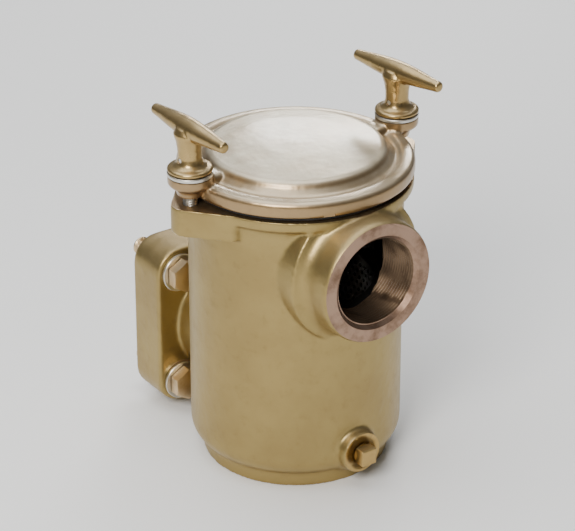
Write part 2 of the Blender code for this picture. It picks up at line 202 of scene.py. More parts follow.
def placed(obj, place=(0, 0, 0), turn=0.0, along=None):
    """Move a shape; along is +1 or -1 to lay its Z along +Y or -Y, turn is degrees about Z."""
    matrix = Matrix.Translation(place) @ Matrix.Rotation(math.radians(turn), 4, "Z")
    if along:
        matrix = matrix @ Matrix.Rotation(-along * math.pi / 2, 4, "X")
    obj.matrix_world = matrix
    return settle(obj)


def combine(obj, operation, *others):
    """Join or cut shapes; a cut face keeps the cutter's finish."""
    for other in others:
        boolean = obj.modifiers.new(other.name, "BOOLEAN")
        boolean.solver = "EXACT"
        boolean.operation = operation
        boolean.material_mode = "TRANSFER"
        boolean.object = other
    settle(obj)
    for other in others:
        bpy.data.objects.remove(other, do_unlink=True)
    return obj


def cast_skin(obj, voxel, rounds):
    """Melt a joined shape into one skin with the soft edges and fillets of a casting."""
    remesh = obj.modifiers.new("skin", "REMESH")
    remesh.mode = "VOXEL"
    remesh.voxel_size = voxel
    smooth = obj.modifiers.new("soften", "SMOOTH")
    smooth.factor = 0.5
    smooth.iterations = rounds
    return settle(obj)


def polish(obj, angle=35):
    """Weld slivers, shade smooth and keep the machined edges crisp."""
    bm = bmesh.new()
    bm.from_mesh(obj.data)
    bmesh.ops.remove_doubles(bm, verts=bm.verts, dist=MERGE)
    bmesh.ops.dissolve_degenerate(bm, edges=bm.edges, dist=MERGE)
    bm.to_mesh(obj.data)
    bm.free()
    obj.data.shade_smooth()
    obj.data.set_sharp_from_angle(angle=math.radians(angle))
    return obj


def threaded(name, radius, pitch, low, high, depth, taper=0.0, around=48, per_turn=8):
    """A solid V-threaded rod along Z, closed by its end caps."""
    rows = max(2, round((high - low) / pitch * per_turn))
    verts = []
    for row in range(rows + 1):
        z = low + (high - low) * row / rows
        ease = min(1, (z - low) / pitch, (high - z) / pitch)
        for column in range(around):
            turn = column / around
            wave = abs(2 * ((z / pitch - turn) % 1) - 1)
            crest = min(1, max(0, wave * 1.3 - 0.15))
            r = radius + taper * (z - low) - depth * crest * ease
            verts.append((r * math.cos(2 * math.pi * turn), r * math.sin(2 * math.pi * turn), z))
    faces = []
    for row in range(rows):
        for column in range(around):
            a = row * around + column
            b = row * around + (column + 1) % around
            faces.append((a, b, b + around, a + around))
    faces.append(tuple(reversed(range(around))))
    faces.append(tuple(range(rows * around, (rows + 1) * around)))
    mesh = bpy.data.meshes.new(name)
    mesh.from_pydata(verts, [], faces)
    return link(name, mesh)


def wear(obj, material):
    """Give every face of a shape one finish."""
    obj.data.materials.clear()
    obj.data.materials.append(material)
    obj.data.polygons.foreach_set("material_index", [0] * len(obj.data.polygons))
    return obj


def show(obj, body, slot, *nodes):
    """Hand a finished piece to the frame: what carries it, its slot (not used), and the nodes it stands for.
    """
    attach(obj, body)
    if nodes:
        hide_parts(*nodes)
    return obj


# ---------------------------------------------------------------- finishes

class Wire:
    """An output of a shader node. Arithmetic on it adds Math nodes."""

    def __init__(self, finish, socket):
        self.finish = finish
        self.socket = socket

    def __add__(self, other):
        return self.finish.maths("ADD", self, other)

    def __sub__(self, other):
        return self.finish.maths("SUBTRACT", self, other)

    def __rsub__(self, other):
        return self.finish.maths("SUBTRACT", other, self)

    def __mul__(self, other):
        return self.finish.maths("MULTIPLY", self, other)

    def __pow__(self, other):
        return self.finish.maths("POWER", self, other)

    __radd__ = __add__
    __rmul__ = __mul__

    def between(self, low, high):
        """0 below low, 1 above high, eased between."""
        return self.finish.node("MapRange", {"interpolation_type": "SMOOTHSTEP"},
                                {"Value": self, "From Min": low, "From Max": high})


class Finish:
    """A surface finish: one material, built from noise, patina and painted top-light masks and bumps."""

    def __init__(self, name):
        self.material = bpy.data.materials.new(name)
        self.material.use_nodes = True
        self.tree = self.material.node_tree
        self.shader = self.tree.nodes["Principled BSDF"]
        self.place = self.node("TexCoord", out="Object")

    def feed(self, socket, value):
        if isinstance(value, Wire):
            self.tree.links.new(value.socket, socket)
        elif isinstance(value, tuple) and len(socket.default_value) == 4:
            socket.default_value = (*value[:3], 1)
        else:
            socket.default_value = value

    def node(self, kind, settings=None, sockets=None, out=0):
        node = self.tree.nodes.new("ShaderNode" + kind)
        for name, value in (settings or {}).items():
            setattr(node, name, value)
        for name, value in (sockets or {}).items():
            self.feed(node.inputs[name], value)
        return Wire(self, node.outputs[out])

    def maths(self, operation, *values):
        return self.node("Math", {"operation": operation}, dict(enumerate(values)))

    def mix(self, share, first, second):
        """Blend two colours."""
        return self.node("Mix", {"data_type": "RGBA"}, {0: share, 6: first, 7: second}, 2)

    def noise(self, size, detail=3, roughness=0.55, stretch=(1, 1, 1)):
        """Cloudy value; size is that of its spots in metres."""
        place = self.node("Mapping", None, {"Vector": self.place, "Scale": Vector(stretch)})
        return self.node("TexNoise", None, {"Vector": place, "Scale": 1 / size, "Detail": detail,
                                            "Roughness": roughness}, "Fac")

    def edges(self):
        """0 in hollows, 0.5 on flats, 1 on edges."""
        return self.node("NewGeometry", out="Pointiness")

    def upward(self):
        """How much a face looks up."""
        return self.node("SeparateXYZ", None, {0: self.node("NewGeometry", out="Normal")}, "Z")

    def radius(self, x=None, y=None, z=None):
        """Distance from an axis through the two given places, along the one left out."""
        split = self.node("SeparateXYZ", None, {0: self.place}).socket.node.outputs
        squares = [(Wire(self, split[name]) - centre) ** 2
                   for name, centre in (("X", x), ("Y", y), ("Z", z)) if centre is not None]
        return (squares[0] + squares[1]) ** 0.5

    def bump(self, height, depth, below=None):
        sockets = {"Height": height, "Distance": depth, "Strength": 1.0}
        if below:
            sockets["Normal"] = below
        return self.node("Bump", None, sockets)

    def set(self, **values):
        for name, value in values.items():
            self.feed(self.shader.inputs[name.replace("_", " ").title()], value)
        return self.material


def cast_bronze(name, gold, brown, top_light_tone, metal, gloss, top_light_share, field=None):
    """Sand-cast bronze: gold where handled, brown in hollows, and a painted pale top light on faces that
    look up, broken up by stain streaks.

    Outside a field of the given radius about Z the painted top light is weaker.
    """
    f = Finish(name)
    clouds = f.noise(40 * MM, 4)
    mottle = f.noise(8 * MM, 5, 0.62)
    grain = f.noise(1.1 * MM, 3, 0.6)
    tone = f.mix(clouds.between(0.35, 0.7) * 0.3, gold, brown)
    tone = f.mix(mottle.between(0.52, 0.8) * 0.3, tone, brown)
    stains = f.noise(22 * MM, 5, 0.6, (1, 1.7, 1)).between(0.36, 0.62)
    # painted top light: faces that look up are mixed towards a pale tone, broken up by real stain streaks
    top_light_and_stains = f.upward().between(0.25, 0.98) * (0.66 + 0.34 * stains) * top_light_share
    if field:
        top_light_and_stains = top_light_and_stains * (1 - 0.45 * f.radius(x=0, y=0).between(field - 2 * MM, field + 4 * MM))
    tone = f.mix(top_light_and_stains, tone, top_light_tone)
    hollow = 1 - f.edges().between(0.40, 0.49)
    tone = f.mix(hollow * 0.8, tone, tuple(c * 0.4 for c in brown))
    rub = f.edges().between(0.52, 0.60)
    tone = f.mix(rub * 0.35, tone, tuple(min(1, c * 1.3) for c in gold))
    broad = f.bump(f.noise(16 * MM, 2), 0.5 * MM)
    pitted = f.bump(mottle, 0.12 * MM, broad)
    return f.set(base_color=tone, metallic=metal - 0.35 * top_light_and_stains, coat_roughness=0.13,
                 coat_weight=0.35 if field else 0.0,
                 roughness=gloss + 0.14 * mottle + 0.08 * top_light_and_stains - 0.1 * rub,
                 normal=f.bump(grain, 0.05 * MM, pitted))


def machined_bronze(name, colour, dark, **axis):
    """Lathe-cut face with fine rings about an axis."""
    f = Finish(name)
    stain = f.noise(12 * MM, 4, 0.6)
    rings = f.maths("SINE", f.radius(**axis) * (2 * math.pi / (0.7 * MM)))
    tone = f.mix(stain.between(0.4, 0.75), colour, dark)
    return f.set(base_color=tone, metallic=0.95, roughness=0.26 + 0.2 * stain,
                 normal=f.bump(rings, 0.012 * MM, f.bump(f.noise(0.8 * MM), 0.02 * MM)))


def plain_metal(name, colour, tint, rough, streak=(1, 1, 1)):
    """Rolled or turned metal with light stains and hairline marks."""
    f = Finish(name)
    stain = f.noise(9 * MM, 4, 0.6)
    hair = f.noise(0.6 * MM, 2, 0.6, streak)
    tone = f.mix(stain.between(0.45, 0.8) * 0.6, colour, tint)
    return f.set(base_color=tone, metallic=1.0, roughness=rough + 0.14 * stain + 0.06 * hair,
                 normal=f.bump(hair, 0.012 * MM))


def black_rubber():
    f = Finish("gasket_rubber")
    bloom = f.noise(6 * MM, 4, 0.6)
    tone = f.mix(bloom.between(0.4, 0.8), (0.012, 0.012, 0.012), (0.05, 0.047, 0.043))
    return f.set(base_color=tone, roughness=0.62 + 0.2 * bloom,
                 normal=f.bump(f.noise(0.7 * MM), 0.04 * MM))


GOLD = (0.47, 0.32, 0.12)
BROWN = (0.17, 0.10, 0.042)
# the fourth colour and the sixth number of each cast finish set its painted top light
BODY_BRONZE = cast_bronze("body_bronze", (0.37, 0.275, 0.108), (0.22, 0.145, 0.058), (0.34, 0.255, 0.14),
                          0.95, 0.33, 0.6)
COVER_BRONZE = cast_bronze("cover_bronze", (0.36, 0.24, 0.115), (0.23, 0.145, 0.075), (0.61, 0.545, 0.41),
                           0.92, 0.27, 1.0, PLATEAU_R)
HANDLE_BRONZE = cast_bronze("handle_bronze", (0.44, 0.31, 0.13), (0.17, 0.095, 0.04), (0.46, 0.36, 0.20),
                            0.97, 0.22, 0.55)
PLUG_BRONZE = cast_bronze("plug_bronze", GOLD, BROWN, (0.46, 0.36, 0.20), 0.95, 0.3, 0.4)
CUT_RIM = machined_bronze("rim_face", (0.44, 0.32, 0.185), (0.30, 0.19, 0.10), x=0, y=0)
CUT_INLET = machined_bronze("inlet_face", (0.36, 0.235, 0.165), (0.17, 0.10, 0.062), x=0, z=INLET_Z)
CUT_OUTLET = machined_bronze("outlet_face", (0.50, 0.36, 0.20), (0.35, 0.23, 0.12), x=0, z=OUTLET_Z)
# painted shade: the inlet thread and the outlet bore are darkened to stand for the shade inside them
BORE_SHADE = machined_bronze("thread_shade", (0.15, 0.10, 0.062), (0.07, 0.045, 0.028), x=0, z=INLET_Z)
# painted shade: the chamber wall is darkened to stand for the shade inside the pot
CHAMBER_SHADE = machined_bronze("chamber_wall_shade", (0.14, 0.095, 0.055), (0.06, 0.04, 0.026), x=0, y=0)
STAINLESS = plain_metal("stainless", (0.68, 0.66, 0.60), (0.46, 0.40, 0.31), 0.22)
SCREW_BRONZE = plain_metal("screw_bronze", (0.66, 0.50, 0.30), (0.44, 0.29, 0.15), 0.27)
BASKET_STEEL = plain_metal("basket_steel", (0.50, 0.49, 0.47), (0.36, 0.34, 0.30), 0.28, (1, 1, 8))
RUBBER = black_rubber()


# ---------------------------------------------------------------- pot casting

def lug():
    """Ear that a stud screws into: wide at the pot, tapering to a round end."""
    lean = math.degrees(math.atan2(SCREW_X - LUG_X, LUG_HALF - LUG_TIP_R))
    outline = [(50 * MM, -LUG_HALF), (LUG_X - 2 * MM, -LUG_HALF), (LUG_X, -LUG_HALF + 2 * MM)]
    outline += arc((SCREW_X, 0), LUG_TIP_R, -lean, lean, 16)
    outline += [(LUG_X, LUG_HALF - 2 * MM), (LUG_X - 2 * MM, LUG_HALF), (50 * MM, LUG_HALF)]
    count = len(outline)
    verts = [(x, y, z) for z in (RIM_Z - LUG_T, RIM_Z + MM) for x, y in outline]
    faces = [tuple(reversed(range(count))), tuple(range(count, 2 * count))]
    faces += [(i, (i + 1) % count, count + (i + 1) % count, count + i) for i in range(count)]
    mesh = bpy.data.meshes.new("lug")
    mesh.from_pydata(verts, [], faces)
    return link("lug", mesh)


def pot_shape():
    """Pot, rim, lugs, inlet boss, neck, flange and drain boss, before the machining."""
    under_rim = RIM_Z - RIM_T
    profile = [(0, RIM_Z + MM), (RIM_R, RIM_Z + MM), (RIM_R, under_rim)]
    profile += [(POT_R + 2.4 * MM, under_rim - 1.5 * MM), (POT_R + 0.7 * MM, under_rim - 4 * MM)]
    profile += [(POT_R, under_rim - 8 * MM), (POT_R, 22 * MM)]
    profile += arc((POT_R - 14 * MM, 22 * MM), 14 * MM, 0, -62)
    profile += [(FOOT_R, 7 * MM), (FOOT_R, -MM), (0, -MM)]
    pot = turned("body_casting", profile)

    mouth = -MOUTH_Y
    cove = arc((INLET_R + 9 * MM, mouth - 14 * MM), 9 * MM, 180, 262, 8)
    inlet = turned("inlet", [(0, mouth + MM), (INLET_R - 1.5 * MM, mouth + MM), (INLET_R, mouth - 2 * MM),
                             *cove, (INLET_R + 8 * MM, 40 * MM), (0, 40 * MM)])
    placed(inlet, (0, 0, INLET_Z), along=-1)
    neck = turned("neck", [(0, FLANGE_FRONT_Y + 4 * MM), (NECK_R, FLANGE_FRONT_Y + 4 * MM),
                           (NECK_R, 30 * MM), (0, 30 * MM)])
    placed(neck, (0, 0, OUTLET_Z), along=1)
    flange = block("flange", (-FLANGE_HALF, FLANGE_FRONT_Y, OUTLET_Z - FLANGE_HALF),
                   (FLANGE_HALF, FLANGE_Y + MM, OUTLET_Z + FLANGE_HALF), 1, FLANGE_CORNER, 1.5 * MM)
    drain = turned("drain", [(0, -DRAIN_Y + MM), (13.6 * MM, -DRAIN_Y + MM), (14 * MM, -DRAIN_Y - MM),
                             (14.5 * MM, 67 * MM), (18 * MM, 62 * MM), (18 * MM, 40 * MM), (0, 40 * MM)],
                   steps=48)
    placed(drain, (0, 0, DRAIN_Z), along=-1)
    lugs = [placed(lug(), turn=turn) for turn in (0, 180)]
    combine(pot, "UNION", inlet, neck, flange, drain, *lugs)
    return cast_skin(pot, 1.3 * MM, 7)


def machine_pot(pot):
    """Cut the faces, the chamber, the bores and the threads."""
    wide = 0.2
    top = wear(block("top", (-wide, -wide, RIM_Z), (wide, wide, RIM_Z + wide), 2, MM), CUT_RIM)
    foot = wear(block("foot", (-wide, -wide, -wide), (wide, wide, 0), 2, MM), CUT_RIM)
    mouth = wear(block("mouth", (-wide, MOUTH_Y - wide, 0), (wide, MOUTH_Y, wide + RIM_Z), 2, MM), CUT_INLET)
    back = wear(block("back", (-wide, FLANGE_Y, -wide), (wide, FLANGE_Y + wide, wide), 2, MM), CUT_OUTLET)
    drain_face = drum("drain_face", 20 * MM, -DRAIN_Y, 100 * MM)
    wear(placed(drain_face, (0, 0, DRAIN_Z), along=-1), PLUG_BRONZE)
    combine(pot, "DIFFERENCE", top, foot, mouth, back, drain_face)

    chamber = turned("chamber", [(0, RIM_Z + MM), (CHAMBER_R + 1.2 * MM, RIM_Z + MM),
                                 (CHAMBER_R, RIM_Z - MM), (CHAMBER_R, LEDGE_Z), (LEDGE_R, LEDGE_Z),
                                 (LEDGE_R, LEDGE_Z - 6 * MM), (CHAMBER_R, LEDGE_Z - 14 * MM),
                                 (CHAMBER_R, FLOOR_Z + 8 * MM),
                                 *arc((CHAMBER_R - 8 * MM, FLOOR_Z + 8 * MM), 8 * MM, 0, -90),
                                 (0, FLOOR_Z)])
    wear(chamber, CHAMBER_SHADE)
    mouth_depth = -MOUTH_Y
    inlet = threaded("inlet_thread", INLET_BORE_R - 0.6 * MM, INLET_PITCH, 50 * MM, mouth_depth + 0.5 * MM,
                     1.2 * MM, 0.03, 96)
    inlet = wear(placed(inlet, (0, 0, INLET_Z), along=-1), BORE_SHADE)
    relief = turned("inlet_relief", [(0, mouth_depth + MM),
                                     (INLET_BORE_R + INLET_CHAMFER + MM, mouth_depth + MM),
                                     (INLET_BORE_R, mouth_depth - INLET_CHAMFER),
                                     (0, mouth_depth - INLET_CHAMFER)])
    relief = wear(placed(relief, (0, 0, INLET_Z), along=-1), CUT_INLET)
    outlet = drum("outlet_bore", OUTLET_BORE_R, 40 * MM, FLANGE_Y + MM)
    outlet = wear(placed(outlet, (0, 0, OUTLET_Z), along=1), BORE_SHADE)
    drain = drum("drain_bore", DRAIN_BORE_R, 50 * MM, -DRAIN_Y + MM)
    drain = wear(placed(drain, (0, 0, DRAIN_Z), along=-1), PLUG_BRONZE)
    holes = []
    for side in SIDES.values():
        hole = drum("stud_hole", STUD_HOLE_R, RIM_Z - LUG_T - 2 * MM, RIM_Z + MM, 32)
        holes.append(wear(placed(hole, (side * SCREW_X, 0, 0)), CUT_RIM))
    for height, side in CORNERS:
        low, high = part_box(f"flange_screw_{height}_{side}")
        place = ((low.x + high.x) / 2, 0, (low.z + high.z) / 2)
        hole = drum("bolt_hole", BOLT_HOLE_R, FLANGE_FRONT_Y - SEAT_DEPTH, FLANGE_Y + MM, 32)
        seat = drum("bolt_seat", SEAT_R, FLANGE_FRONT_Y - SEAT_DEPTH, FLANGE_FRONT_Y, 48)
        holes += [wear(placed(cutter, place, along=1), CUT_OUTLET) for cutter in (hole, seat)]
    return combine(pot, "DIFFERENCE", chamber, inlet, relief, outlet, drain, *holes)


def body_casting():
    pot = wear(pot_shape(), BODY_BRONZE)
    show(polish(machine_pot(pot), 40), "root", "body_bronze", "strainer_body")


# ---------------------------------------------------------------- cover

def cover_casting():
    edge = COVER_Z + COVER_EDGE
    top = edge + PLATEAU_H
    profile = [(0, top + CROWN), (PLATEAU_R * 0.35, top + 0.86 * CROWN)]
    profile += [(PLATEAU_R * 0.7, top + 0.45 * CROWN), (PLATEAU_R - 4 * MM, top)]
    profile += arc((PLATEAU_R - 4 * MM, top - 4.5 * MM), 4.5 * MM, 80, 8)
    profile += [(PLATEAU_R + 1.6 * MM, edge + 2.6 * MM), (PLATEAU_R + 4 * MM, edge + 0.4 * MM)]
    profile += [(PLATEAU_R + 6.5 * MM, edge - 0.2 * MM), (PLATEAU_R + 8 * MM, edge + 0.8 * MM)]
    profile += [(PLATEAU_R + 9.5 * MM, edge + 1.6 * MM), (COVER_R - 4.5 * MM, edge + 1.5 * MM)]
    profile += arc((COVER_R - 3.4 * MM, edge - 2 * MM), 3.4 * MM, 80, 0)
    profile += [(COVER_R, COVER_Z + 1.5 * MM), (COVER_R - 1.2 * MM, COVER_Z)]
    profile += [(SPIGOT_R, COVER_Z), (SPIGOT_R - 0.5 * MM, COVER_Z - SPIGOT_H)]
    profile += [(SPIGOT_R - 4 * MM, COVER_Z - SPIGOT_H), (SPIGOT_R - 4.2 * MM, COVER_Z + 2 * MM)]
    profile += [(SPIGOT_R - 10 * MM, top - COVER_WALL), (0, top + CROWN - COVER_WALL)]
    cover = turned("cover_casting", profile)
    ears = []
    for side in SIDES.values():
        ear = turned("ear", [(0, EAR_TOP + MM), (EAR_R, EAR_TOP + MM), (EAR_R, EAR_TOP - 4.6 * MM),
                             (EAR_R - 1.2 * MM, EAR_TOP - 6.2 * MM), (9.8 * MM, EAR_TOP - 8.2 * MM),
                             (8.6 * MM, EAR_TOP - 10.5 * MM), (8.2 * MM, EAR_TOP - 13 * MM),
                             (0, EAR_TOP - 13 * MM)], steps=48)
        placed(ear, (side * SCREW_X, 0, 0))
        arm = block("arm", (side * ARM_X - ARM_HALF_X, -ARM_HALF_Y, COVER_Z + 3 * MM),
                    (side * ARM_X + ARM_HALF_X, ARM_HALF_Y, EAR_TOP - 1.8 * MM), 0, 3.5 * MM, MM)
        ears += [ear, arm]
    combine(cover, "UNION", *ears)
    wear(cast_skin(cover, 0.9 * MM, 5), COVER_BRONZE)
    cuts = []
    for side in SIDES.values():
        seat = drum("ear_face", 17 * MM, EAR_TOP, EAR_TOP + 9 * MM, 48)
        hole = drum("ear_hole", EAR_HOLE_R, COVER_Z - 2 * MM, EAR_TOP + 5 * MM, 32)
        cuts += [wear(placed(cutter, (side * SCREW_X, 0, 0)), CUT_RIM) for cutter in (seat, hole)]
    nick = block("pry_nick", (COVER_R - 1.6 * MM, -4 * MM, COVER_Z - MM),
                 (COVER_R + 5 * MM, 4 * MM, COVER_Z + 2.2 * MM), 2, MM)
    cuts.append(wear(placed(nick, turn=-109), COVER_BRONZE))
    combine(cover, "DIFFERENCE", *cuts)
    show(polish(cover, 40), "cover", "cover_bronze", "cover")


# ---------------------------------------------------------------- hand screws

def washer_shape(name, node, hole, axis=2):
    """A flat washer with rounded edges, filling a node's box, its hole along Z or Y."""
    low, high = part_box(node)
    middle = (low + high) / 2
    outer = (high.x - low.x) / 2
    half = (high[axis] - low[axis]) / 2
    ease = 0.35 * MM
    profile = [(hole, -half + ease), (hole, half - ease), (hole + ease, half)]
    profile += arc((outer - 0.6 * MM, half - 0.6 * MM), 0.6 * MM, 90, 0, 4)
    profile += [(outer, -half + ease), (outer - ease, -half), (hole + ease, -half)]
    return placed(turned(name, profile, True, 64), middle, along=None if axis == 2 else 1)


def t_handle(side):
    """Cast T: collar, waisted stem and a bar that tapers to blunt ends."""
    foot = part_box(side + "_t_handle")[0].z
    profile = [(0, BAR_Z + 2 * MM), (8 * MM, BAR_Z + MM), (10 * MM, BAR_Z - 3 * MM)]
    profile += [(STEM_R + MM, BAR_Z - 8 * MM), (STEM_R + 0.2 * MM, BAR_Z - 13 * MM)]
    profile += [(STEM_R, foot + 9 * MM), (STEM_R + MM, foot + 5.6 * MM)]
    profile += [(10.5 * MM, foot + 3.6 * MM), (COLLAR_R - MM, foot + 3 * MM)]
    profile += arc((COLLAR_R - 1.5 * MM, foot + 1.5 * MM), 1.5 * MM, 70, -80, 6)
    profile += [(0, foot)]
    stem = turned("stem", profile, steps=64)
    bar_profile = [(0, BAR_HALF)]
    bar_profile += arc((BAR_END_R - 1.6 * MM, BAR_HALF - 1.6 * MM), 1.6 * MM, 80, 20, 3)
    for step in range(1, 24):
        share = 1 - step / 12
        swell = math.cos(share * math.pi / 2) ** 1.3
        bar_profile.append((BAR_END_R + (BAR_MID_R - BAR_END_R) * swell, share * (BAR_HALF - 1.5 * MM)))
    bar_profile += arc((BAR_END_R - 1.6 * MM, 1.6 * MM - BAR_HALF), 1.6 * MM, -20, -80, 3)
    bar_profile.append((0, -BAR_HALF))
    bar = placed(turned("bar", bar_profile, steps=48), (0, 0, BAR_Z), along=1)
    combine(stem, "UNION", bar)
    cast_skin(stem, 0.6 * MM, 8)
    stem.name = side + "_cast_handle"
    wear(stem, HANDLE_BRONZE)
    bore = wear(drum("stud_bore", STUD_HOLE_R, foot - MM, foot + STUD_IN_HANDLE, 32), CUT_RIM)
    pin_low, pin_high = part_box(side + "_stud_pin")
    pin_z = (pin_low.z + pin_high.z) / 2
    pin = drum("pin_bore", 1.8 * MM, -10 * MM, 10 * MM, 24)
    pin.matrix_world = Matrix.Translation((0, 0, pin_z)) @ Matrix.Rotation(math.pi / 2, 4, "Y")
    combine(stem, "DIFFERENCE", bore, wear(settle(pin), CUT_RIM))
    placed(stem, (SIDES[side] * SCREW_X, 0, 0), turn=HANDLE_TURN[side])
    show(polish(stem, 45), side + "_screw", "handle_bronze", side + "_t_handle")


def stud(side):
    low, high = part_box(side + "_stud")
    middle = ((low.x + high.x) / 2, (low.y + high.y) / 2, 0)
    rod = threaded(side + "_threaded_stud", 4.74 * MM, STUD_PITCH, low.z, high.z, 0.95 * MM, around=40)
    wear(placed(rod, middle), STAINLESS)
    show(polish(rod, 50), side + "_screw", "stainless", side + "_stud")


def hand_screw(side):
    t_handle(side)
    stud(side)
    washer = wear(washer_shape(side + "_collar_washer", side + "_thrust_washer", 5.1 * MM), STAINLESS)
    show(polish(washer), side + "_washer", "stainless", side + "_thrust_washer")


# ---------------------------------------------------------------- flange screws, plug, gaskets

def cap_screw(height, side):
    """Hex cap screw: chamfered head, washer face, plain shank and rolled thread."""
    node = f"flange_screw_{height}_{side}"
    low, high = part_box(node)
    place = ((low.x + high.x) / 2, 0, (low.z + high.z) / 2)
    name = f"{height}_{side}_cap_screw"
    mesh = bpy.data.meshes.new(name)
    bm = bmesh.new()
    depth = HEAD_T - 0.4 * MM
    bmesh.ops.create_cone(bm, cap_ends=True, segments=6, radius1=HEAD_R, radius2=HEAD_R, depth=depth)
    bmesh.ops.translate(bm, vec=(0, 0, low.y + depth / 2), verts=bm.verts)
    bm.to_mesh(mesh)
    bm.free()
    head = link(name, mesh)
    seat_y = low.y + HEAD_T
    crown = turned("crown", [(0, seat_y), (HEAD_R + 3 * MM, seat_y), (HEAD_R + 3 * MM, low.y + 2.4 * MM),
                             (HEAD_R - 2 * MM, low.y), (0, low.y)])
    combine(head, "INTERSECT", crown)
    face = drum("washer_face", 9.3 * MM, seat_y - 0.6 * MM, seat_y)
    shank = turned("shank", [(0, low.y + SHANK_END), (SHANK_R, low.y + SHANK_END),
                             (SHANK_R, seat_y - MM), (0, seat_y - MM)])
    combine(head, "UNION", face, shank)
    thread = threaded("thread", SHANK_R, BOLT_PITCH, low.y + SHANK_END - 2 * MM, high.y, 1.1 * MM)
    combine(head, "UNION", thread)
    wear(placed(head, place, along=1), SCREW_BRONZE)
    show(polish(head, 30), "root", "screw_bronze", node)
    washer_node = f"flange_washer_{height}_{side}"
    washer = wear(washer_shape(f"{height}_{side}_flat_washer", washer_node, 6.7 * MM, 1), STAINLESS)
    show(polish(washer), "root", "stainless", washer_node)


def drain_plug():
    low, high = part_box("drain_plug")
    half = 5.5 * MM
    head = block("square_plug", (-half, -half, -DRAIN_Y + GAP), (half, half, -low.y), 2, 0.9 * MM, 0.7 * MM)
    thread = threaded("thread", 6.4 * MM, DRAIN_PITCH, -high.y, -DRAIN_Y + 0.6 * MM, 0.8 * MM)
    combine(head, "UNION", thread)
    wear(placed(head, (0, 0, DRAIN_Z), along=-1), PLUG_BRONZE)
    show(polish(head), "root", "plug_bronze", "drain_plug")


def gaskets():
    """Two flat rings whose edges bulge a little where they are squeezed."""
    for name, node, inner, axis in (("cover_seal", "cover_gasket", 63 * MM, 2),
                                    ("flange_seal", "outlet_gasket", 27 * MM, 1)):
        low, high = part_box(node)
        outer = (high.x - low.x) / 2
        half = (high[axis] - low[axis]) / 2
        profile = arc((inner + half, 0), half, -90, -270, 6) + arc((outer - half, 0), half, 90, -90, 6)
        ring = placed(turned(name, profile, True, 128), (low + high) / 2, along=None if axis == 2 else 1)
        show(polish(wear(ring, RUBBER), 60), "root", "gasket_rubber", node)


# ---------------------------------------------------------------- basket

def perforated(name, columns, rows, across, up, hole, shape, rolled=True):
    """A sheet of staggered round holes; shape takes a place on the flat sheet to its place in space.

    A rolled sheet's last column meets its first.
    """
    seam = columns if rolled else math.inf
    verts = []
    faces = []
    index = {}

    def corner(u, v):
        key = (round(u * 8), round(v * 8))
        if key not in index:
            index[key] = len(verts)
            verts.append(shape(u * across, v * up))
        return index[key]

    for row in range(rows):
        for column in range(columns):
            left = column + 0.5 * (row % 2)
            ring = [corner((left + u) % seam, row + v)
                    for u, v in ((0, 0), (0.5, 0), (1, 0), (1, 0.5), (1, 1), (0.5, 1), (0, 1), (0, 0.5))]
            first = len(verts)
            for step in range(8):
                angle = math.radians(225 + 45 * step)
                u = (left + 0.5) * across + hole * math.cos(angle)
                v = (row + 0.5) * up + hole * math.sin(angle)
                verts.append(shape(u, v))
            for step in range(8):
                after = (step + 1) % 8
                faces.append((ring[step], ring[after], first + after, first + step))
    mesh = bpy.data.meshes.new(name)
    mesh.from_pydata(verts, [], faces)
    return link(name, mesh)


def thicken(sheet):
    solid = sheet.modifiers.new("sheet", "SOLIDIFY")
    solid.thickness = SHEET_T
    solid.offset = 0
    return settle(sheet)


def screen():
    """Rolled perforated wall between two plain hems."""
    low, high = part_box("basket_screen")
    top_r = (high.x - low.x) / 2
    low_r = top_r - 5 * MM
    tall = high.z - low.z
    border = 3.5 * MM
    columns = 64
    rows = 20
    across = 2 * math.pi * top_r / columns

    def wall(u, v):
        share = (border + v) / tall
        r = low_r + (top_r - low_r) * share - SHEET_T / 2
        return (r * math.cos(u / top_r), r * math.sin(u / top_r), low.z + border + v)

    sheet = perforated("perforated_wall", columns, rows, across, (tall - 2 * border) / rows, HOLE_R, wall)
    polish(wear(thicken(sheet), BASKET_STEEL), 50)
    show(sheet, "basket", "basket_steel", "basket_screen")
    for name, z0, z1, r0, r1 in (("top_hem", high.z - border - 0.2 * MM, high.z, top_r - 0.2 * MM, top_r),
                                 ("low_hem", low.z, low.z + border + 0.2 * MM, low_r, low_r + 0.2 * MM)):
        hem = turned(name, [(r0 - 1.4 * MM, z0), (r1 - 1.4 * MM, z1), (r1, z1), (r0, z0)], True)
        show(polish(wear(hem, BASKET_STEEL)), "basket", "basket_steel")


def screen_bottom():
    """Perforated disc in a plain rolled ring."""
    low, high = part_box("basket_bottom")
    disc_r = (high.x - low.x) / 2
    middle = (low.z + high.z) / 2
    cell = 4.9 * MM
    count = 20

    def flat(u, v):
        return (u - (count + 0.5) * cell / 2, v - count * cell * 0.433, middle)

    sheet = perforated("perforated_bottom", count, count, cell, cell * 0.866, HOLE_R, flat, rolled=False)
    thicken(sheet)
    combine(sheet, "INTERSECT", drum("disc", disc_r - 3 * MM, low.z - MM, high.z + MM, 96))
    polish(wear(sheet, BASKET_STEEL), 50)
    show(sheet, "basket", "basket_steel", "basket_bottom")
    ring = turned("bottom_ring", [(disc_r - 3.4 * MM, low.z), (disc_r - 3.4 * MM, high.z),
                                  (disc_r, high.z), (disc_r, low.z)], True)
    show(polish(wear(ring, BASKET_STEEL)), "basket", "basket_steel")


def basket_rim():
    low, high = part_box("basket_rim")
    outer = (high.x - low.x) / 2
    half = (high.z - low.z) / 2
    inner = 49 * MM
    middle = low.z + half
    profile = arc((inner + half, middle), half, -90, -270, 8)
    profile += [(inner + 3.5 * MM, high.z - 0.6 * MM), (outer - 3.5 * MM, high.z - 0.6 * MM)]
    profile += arc((outer - half, middle), half, 90, -90, 8)
    ring = turned("rolled_rim", profile, True, 128)
    show(polish(wear(ring, BASKET_STEEL), 50), "basket", "basket_steel", "basket_rim")


